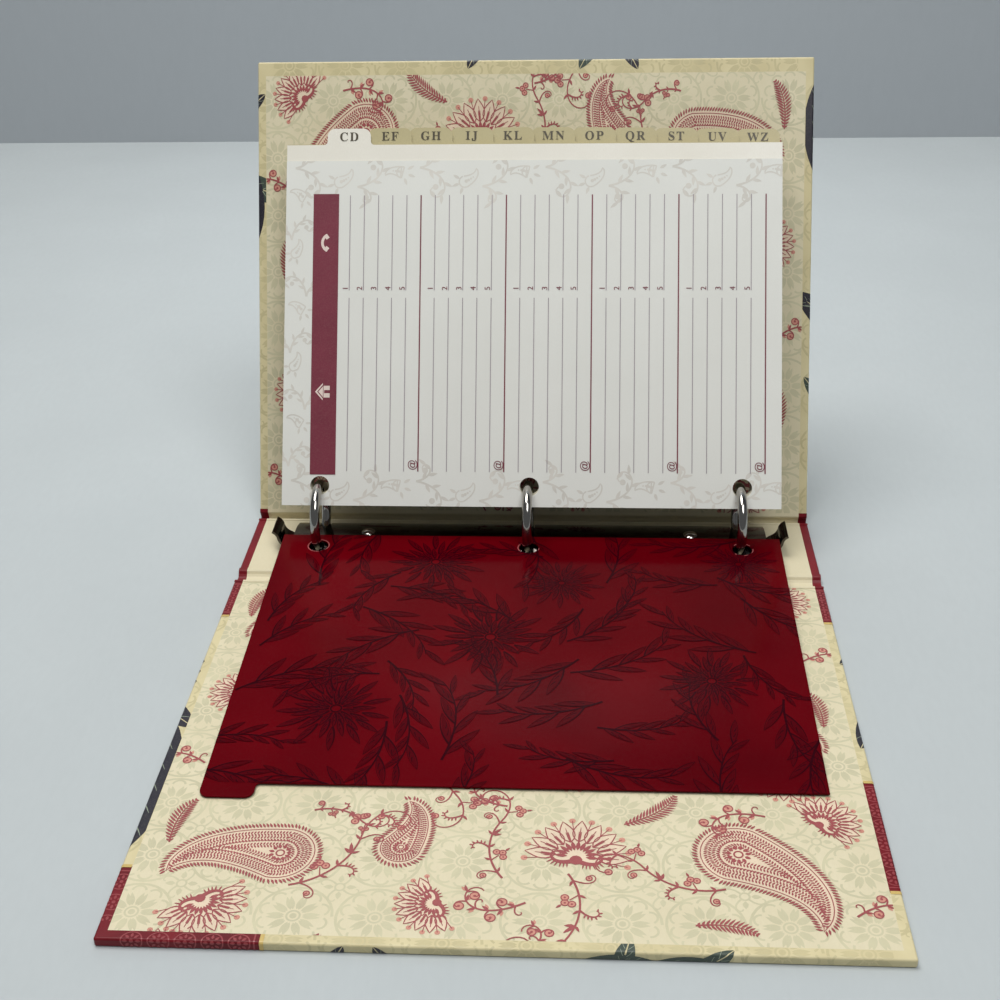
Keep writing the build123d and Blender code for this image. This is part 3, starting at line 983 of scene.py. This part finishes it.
def make_posy(radius):
    """A small flower of five round petals."""
    art = Drawing()
    for k in range(5):
        at = polar((0, 0), 72 * k, 0.56 * radius)
        art.add("pink", disc(at, 0.42 * radius, 14))
        art.add("plum", *ring(at, 0.42 * radius, 0.22))
        crease = [polar((0, 0), 72 * k, share * radius) for share in (0.2, 0.5, 0.75)]
        art.line("plum", crease, 0.4, 0.12)
    art.add("gold", disc((0, 0), 0.24 * radius, 12))
    return art


def make_leaf(length, ink):
    """A pointed leaf in two halves, with the paper showing as its midrib and paler veins."""
    art = Drawing()
    for side in (-1, 1):
        rim = tendril((0, side * 0.35), side * 34, 1.04 * length, side * -68, 0, 12)
        art.add(ink, [(0, side * 0.35)] + rim[1:-1] + [(length * 0.99, side * 0.1)])
        for share in (0.16, 0.3, 0.44, 0.58, 0.72):
            vein = tendril((share * length, side * 0.4), side * 40, 0.14 * length, side * -16, 0, 4)
            art.line("sage", vein, 0.012 * length, 0.1)
    return art


def make_cover_vine(length, bend=22):
    """A bent stem with leaves, curls and berries to both sides and a posy at its tip."""
    art = Drawing()
    stem = tendril((0, 0), 0, length, bend, bend * 2.2, 24)
    art.line("olive", stem, 1.0, 0.5)
    for k, at, heading, side in branches(stem[2:], length / 7):
        art.take(make_leaf(0.15 * length, "green" if k % 3 else "navy").moved(at, heading + side * 50))
        curl = tendril(at, heading - side * 44, 0.16 * length, -side * 40, -side * 220, 14)
        art.line("olive", curl, 0.6, 0.35)
        art.add("crimson", disc(curl[-1], 0.9, 12))
        art.add("gold", disc(curl[-1], 0.3, 8))
    art.take(make_posy(0.065 * length + 1).moved(stem[-1]))
    return art


# Cover print by kind: size in mm, place from the cover's left end and fold, heading
COVER_PRINT = {
    "vine": [(78, (52, 8), 74), (84, (116, 148), -112), (60, (178, 66), 112), (62, (12, 108), -58),
             (56, (84, 66), 8), (54, (66, 140), -150), (50, (128, 84), 66), (48, (186, 150), -120),
             (46, (70, 30), -24)],
    "posy": [(5, (66, 118), 0), (4.5, (122, 128), 20), (5, (12, 88), 40), (4.5, (126, 22), 10),
             (5, (178, 88), 30), (4, (70, 74), 50)],
    "flower": [(25, (34, 42), 10), (22, (92, 96), 34), (26, (150, 42), 52), (20, (24, 122), 5),
               (24, (158, 126), 22), (15, (96, 22), 0)],
    "navy_leaf": [(30, (52, 58), 38), (28, (14, 62), 140), (30, (112, 108), 20), (26, (140, 140), 150),
                  (26, (38, 134), 20)],
    "green_leaf": [(27, (120, 56), 160), (30, (174, 38), 60), (26, (72, 100), 190), (26, (180, 120), -20)],
}
# Leaves that cross the edges
FRONT_EDGE_LEAVES = {
    "navy_leaf": [(10, (54, 152), 60), (10, (71, 152), 120), (62, (2, 72), 91), (9, (5, 44), 150),
                  (9, (5, 49), 150), (9, (5, 54), 150), (24, (184, 62), 66), (14, (183, 36), 40)],
    "green_leaf": [(22, (110, 155), 8), (20, (131, 158), -8), (16, (137, 152), 40), (14, (122, 152), 75)],
}
BACK_EDGE_LEAVES = {
    "navy_leaf": [(24, (38, 153), 12), (14, (66, 152), 118), (13, (112, 152), 64), (18, (118, 155), 172),
                  (38, (1, 116), 91), (12, (4, 72), 150), (34, (189, 92), 89), (12, (186, 140), 40),
                  (18, (188, 70), 84)],
    "green_leaf": [(16, (72, 150), 62), (14, (5, 40), 130)],
}
COVER_MAKERS = {
    "vine": make_cover_vine,
    "flower": make_flower,
    "posy": make_posy,
    "navy_leaf": lambda size: make_leaf(size, "navy"),
    "green_leaf": lambda size: make_leaf(size, "green"),
}


def draw_panel(art, left, bottom, right, top):
    """Trim of a dark panel: a double line along its edges and a lattice of small flowers."""
    for inset, width, ink in ((0.0, 1.0, "gold"), (1.7, 0.4, "garnet")):
        corners = closed(box(left + inset, bottom + inset, right - inset, top - inset))
        for start, end in zip(corners, corners[1:]):
            art.line(ink, [start, end], width, width)
    wide, tall = right - left - 2 * PANEL_CLEAR, top - bottom - 2 * PANEL_CLEAR
    columns, rows = [max(1, round(span / PANEL_STEP)) for span in (wide, tall)]
    for column in range(columns):
        for row in range(rows):
            at = (left + PANEL_CLEAR + (column + 0.5) * wide / columns,
                  bottom + PANEL_CLEAR + (row + 0.5) * tall / rows)
            art.add("garnet", *ring(at, 0.4 * PANEL_STEP, 0.35), disc(at, 0.5, 8))
            art.add("garnet", *(petal(polar(at, 45 * k, 0.9), 45 * k, 1.4, 0.75) for k in range(8)))


def make_cover_print(face, edge_leaves):
    """Flowers, vines and leaves over a faint ground."""
    art = Drawing()
    draw_ground(art, face, "straw")
    for motifs in (COVER_PRINT, edge_leaves):
        for kind, rows in motifs.items():
            for size, at, heading in rows:
                art.take(COVER_MAKERS[kind](size).moved(at, heading))
    return art


ROUND_RUN = WRAP_ROUND * pi / 2
WALL_RUN = WRAP_THICK - 2 * WRAP_ROUND
EDGE_RUN = 2 * ROUND_RUN + WALL_RUN + TURN_IN - WRAP_ROUND


def fold_over(run):
    """Where paper lies that goes round a cover's edge: how far out from the start of the edge's rounding and
    how deep below the outer face it is after a run past that start, and which way it faces, out and up."""
    if run <= ROUND_RUN:
        turn = max(run, 0) / WRAP_ROUND
        return WRAP_ROUND * sin(turn) + min(run, 0), WRAP_ROUND * (1 - cos(turn)), sin(turn), cos(turn)
    run -= ROUND_RUN
    if run <= WALL_RUN:
        return WRAP_ROUND, WRAP_ROUND + run, 1.0, 0.0
    run -= WALL_RUN
    if run <= ROUND_RUN:
        turn = run / WRAP_ROUND
        return WRAP_ROUND * cos(turn), WRAP_THICK - WRAP_ROUND * (1 - sin(turn)), cos(turn), -sin(turn)
    return ROUND_RUN - run, WRAP_THICK, 0.0, -1.0


def edge_place(face, side):
    """Place function for the paper past the left, right or far edge of a cover's outer face."""
    def place(u, v, h):
        if side == "far":
            out, deep, tilt, level = fold_over(v - face.height + WRAP_ROUND)
            return face.place(u, face.height - WRAP_ROUND + out + h * tilt, h * level - deep)
        start = WRAP_ROUND if side == "left" else face.width - WRAP_ROUND
        way = -1 if side == "left" else 1
        out, deep, tilt, level = fold_over(way * (u - start))
        return face.place(start + way * (out + h * tilt), v, h * level - deep)
    return place


BEND_RUNS = [ROUND_RUN * k / 3 for k in range(4)]
FOLD_RUNS = BEND_RUNS + [ROUND_RUN + WALL_RUN + run for run in BEND_RUNS]


def lay_over_edges(name, art, cover, face, holes=()):
    """A drawing on a cover's outer face and round its three edges to the turned-in margin."""
    wide, tall, inset = face.width, face.height, WRAP_ROUND
    lay_drawing(name, art, cover, (inset, PRINT_START), (wide - inset, tall - inset),
                face.place, holes)
    margin = TURN_IN if cover == "front_cover" else BACK_TURN_IN
    reach = EDGE_RUN - STRIP_BARE
    far_reach = reach + margin - TURN_IN
    strips = {
        "left": ((inset - reach, PRINT_START), (inset, tall - EDGE_RUN)),
        "right": ((wide - inset, PRINT_START), (wide - inset + reach, tall - EDGE_RUN)),
        "far": ((EDGE_RUN, tall - inset), (wide - EDGE_RUN, tall - inset + far_reach)),
    }
    for side, (low, high) in strips.items():
        if side == "far":
            lines = [((0, tall - inset + run), (wide, tall - inset + run)) for run in FOLD_RUNS]
        else:
            edge, way = (inset, -1) if side == "left" else (wide - inset, 1)
            lines = [((edge + way * run, 0), (edge + way * run, tall)) for run in FOLD_RUNS]
        place = edge_place(face, side)
        lay_drawing(f"{name}_{side}", art, cover, low, high, place, holes, lines)


OUTWARD = {"front_cover": (0, 0, -1), "back_cover": (0, 1, -0.5)}
front_outside = Face("front_cover_wrap", OUTWARD["front_cover"])
back_outside = Face("back_cover_wrap", OUTWARD["back_cover"], (-1, 0, 0))
band_end = front_outside.place(0, PRINT_START, 0).y / MM
front_panels = [front_outside.panel((x_low, y_low), (x_high, min(y_high, band_end)))
                for (x_low, x_high), (y_low, y_high) in RED_ZONES]
trims = Drawing()
for panel in front_panels:
    draw_panel(trims, *panel)
lay_over_edges("front_cover_print", make_cover_print(front_outside, FRONT_EDGE_LEAVES),
               "front_cover", front_outside, [box(*panel) for panel in front_panels])
lay_over_edges("front_cover_panels", trims, "front_cover", front_outside)
lay_over_edges("back_cover_print", make_cover_print(back_outside, BACK_EDGE_LEAVES),
               "back_cover", back_outside)

spine_outside = Face("spine_wrap", (0, 0, -1))
spine_trim = Drawing()
draw_panel(spine_trim, 0, PRINT_START, spine_outside.width, spine_outside.height - PRINT_START)
lay_drawing("spine_print", spine_trim, "spine", (WRAP_ROUND, PRINT_START),
            (spine_outside.width - WRAP_ROUND, spine_outside.height - PRINT_START), spine_outside.place)


# Paper in the gutters, bent across each fold

GUTTER_PAPER = 0.12
# Half the section of the inner paper: distance from the fold and height above the outer face
GUTTER_DIP = [(4.2, 2.64), (3.1, 2.64), (2.75, 2.4), (2.3, 1.6), (1.6, 0.95), (0.8, 0.68), (0.0, 0.62)]
GUTTER_SKIN = [(0.39, 0.06), (0.2, 0.06), (0.0, 0.06)]


def lay_gutter(cover, joint, name, half, look, left, right):
    """A strip of paper across a fold, with the same half section on the spine's side and the cover's."""
    axis = Vector(joint["pos_m"]) / MM
    fold, lift = Vector((0, axis.y, 0)), axis.z
    towards_spine = Vector((0, -1 if axis.y > 0 else 1, 0))
    face = Face(f"{cover}_wrap", OUTWARD[cover])
    inward = -face.out
    middle = face.place(face.width / 2, face.height / 2, 0) / MM
    along = face.v if face.v.dot(middle - axis) > 0 else -face.v
    line = [fold + towards_spine * d + Vector((0, 0, h)) for d, h in half]
    line += [axis + along * d + inward * (h - lift) for d, h in half[::-1][1:]]
    corners, faces = [], []
    for k, point in enumerate(line):
        ahead = (line[min(k + 1, len(line) - 1)] - line[max(k - 1, 0)]).normalized()
        up = Vector((1, 0, 0)).cross(ahead)
        up = up if up.dot(Vector((0, 0, 1)) + inward) > 0 else -up
        for x in (left, right):
            for height in (0, GUTTER_PAPER):
                corners.append((point + up * height + Vector((x, 0, 0))) * MM)
    for k in range(len(line) - 1):
        a, b = 4 * k, 4 * k + 4
        faces += [(a + 1, a + 3, b + 3, b + 1), (a, b, b + 2, a + 2)]
        faces += [(a, a + 1, b + 1, b), (a + 2, b + 2, b + 3, a + 3)]
    end = 4 * (len(line) - 1)
    faces += [(0, 2, 3, 1), (end, end + 1, end + 3, end + 2)]
    piece = add_mesh(name, corners, faces, look)
    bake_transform(piece)


half_paper = front_face.width / 2
half_case = half_paper + TURN_IN
for cover in OUTWARD:
    joint = next(one for one in frame["joints"] if one["name"] == f"{cover}_hinge")
    lay_gutter(cover, joint, f"{cover}_gutter", GUTTER_DIP, looks["endpaper"], -half_paper, half_paper)
    for end, (left, right) in {"left": (-half_case, -half_paper), "right": (half_paper, half_case)}.items():
        lay_gutter(cover, joint, f"{cover}_gutter_{end}", GUTTER_DIP, looks["zoned_wrap"], left, right)
    lay_gutter(cover, joint, f"{cover}_gutter_skin", GUTTER_SKIN, looks["zoned_wrap"], -half_case, half_case)


# Stage, light and camera

def add_stage():
    pale = make_paper("pale_floor", rgb(185, 192, 194), rgb(179, 186, 188), 0.8,
                      cloud=60.0, fibre=2.0, relief=0.05)
    grey = make_paper("grey_wall", rgb(172, 178, 183), rgb(168, 174, 179), 0.9,
                      cloud=300.0, fibre=4.0, relief=0.05)
    far, deep = 6.0, 0.51  # m
    near_side, far_side = [(-far, -far, 0), (far, -far, 0)], [(far, deep, 0), (-far, deep, 0)]
    top_side = [(far, deep, far), (-far, deep, far)]
    floor = add_mesh("floor", near_side + far_side, [(0, 1, 2, 3)], pale)
    wall = add_mesh("backdrop", far_side[::-1] + top_side, [(0, 1, 2, 3)], grey)


def add_light(name, at, aim, size, power, tint=(1.0, 1.0, 1.0)):
    lamp = bpy.data.lights.new(name, "AREA")
    lamp.shape = "DISK"
    lamp.size = size
    lamp.energy = power
    lamp.color = tint
    light = bpy.data.objects.new(name, lamp)
    light.location = at
    light.rotation_euler = (Vector(aim) - Vector(at)).to_track_quat("-Z", "Y").to_euler()
    light.visible_camera = False
    bpy.context.scene.collection.objects.link(light)


def add_world(colour, strength):
    world = bpy.data.worlds.new("studio")
    world.use_nodes = True
    background = world.node_tree.nodes["Background"]
    background.inputs["Color"].default_value = colour
    background.inputs["Strength"].default_value = strength
    bpy.context.scene.world = world


def add_camera():
    forward = cos(CAMERA_PITCH)
    ahead = Vector((sin(CAMERA_YAW) * forward, cos(CAMERA_YAW) * forward, -sin(CAMERA_PITCH)))
    level = Vector((cos(CAMERA_YAW), -sin(CAMERA_YAW), 0))
    upright = level.cross(ahead)
    right = cos(CAMERA_ROLL) * level + sin(CAMERA_ROLL) * upright
    up = cos(CAMERA_ROLL) * upright - sin(CAMERA_ROLL) * level
    data = bpy.data.cameras.new("camera")
    data.sensor_width = SENSOR
    data.lens = FOCAL_PIXELS * SENSOR / FRAME_PIXELS
    camera = bpy.data.objects.new("camera", data)
    turn = Matrix((right, up, -ahead)).transposed().to_4x4()
    camera.matrix_world = Matrix.Translation(Vector(CAMERA_AT) * MM) @ turn
    bpy.context.scene.collection.objects.link(camera)
    bpy.context.scene.camera = camera


add_stage()
add_world((0.92, 0.96, 1.0, 1.0), 0.16)
add_light("key", at=(-0.25, 0.1, 1.25), aim=(0, -0.03, 0.02), size=0.75, power=10.6, tint=(1.0, 0.98, 0.95))
add_light("fill", at=(0.35, -0.6, 1.3), aim=(0, 0, 0.03), size=0.7, power=8.0)
add_light("back", at=(0.0, 0.46, 0.3), aim=(0, 0.09, 0.07), size=0.35, power=0.45)
add_camera()
bpy.context.scene.view_settings.view_transform = "Standard"
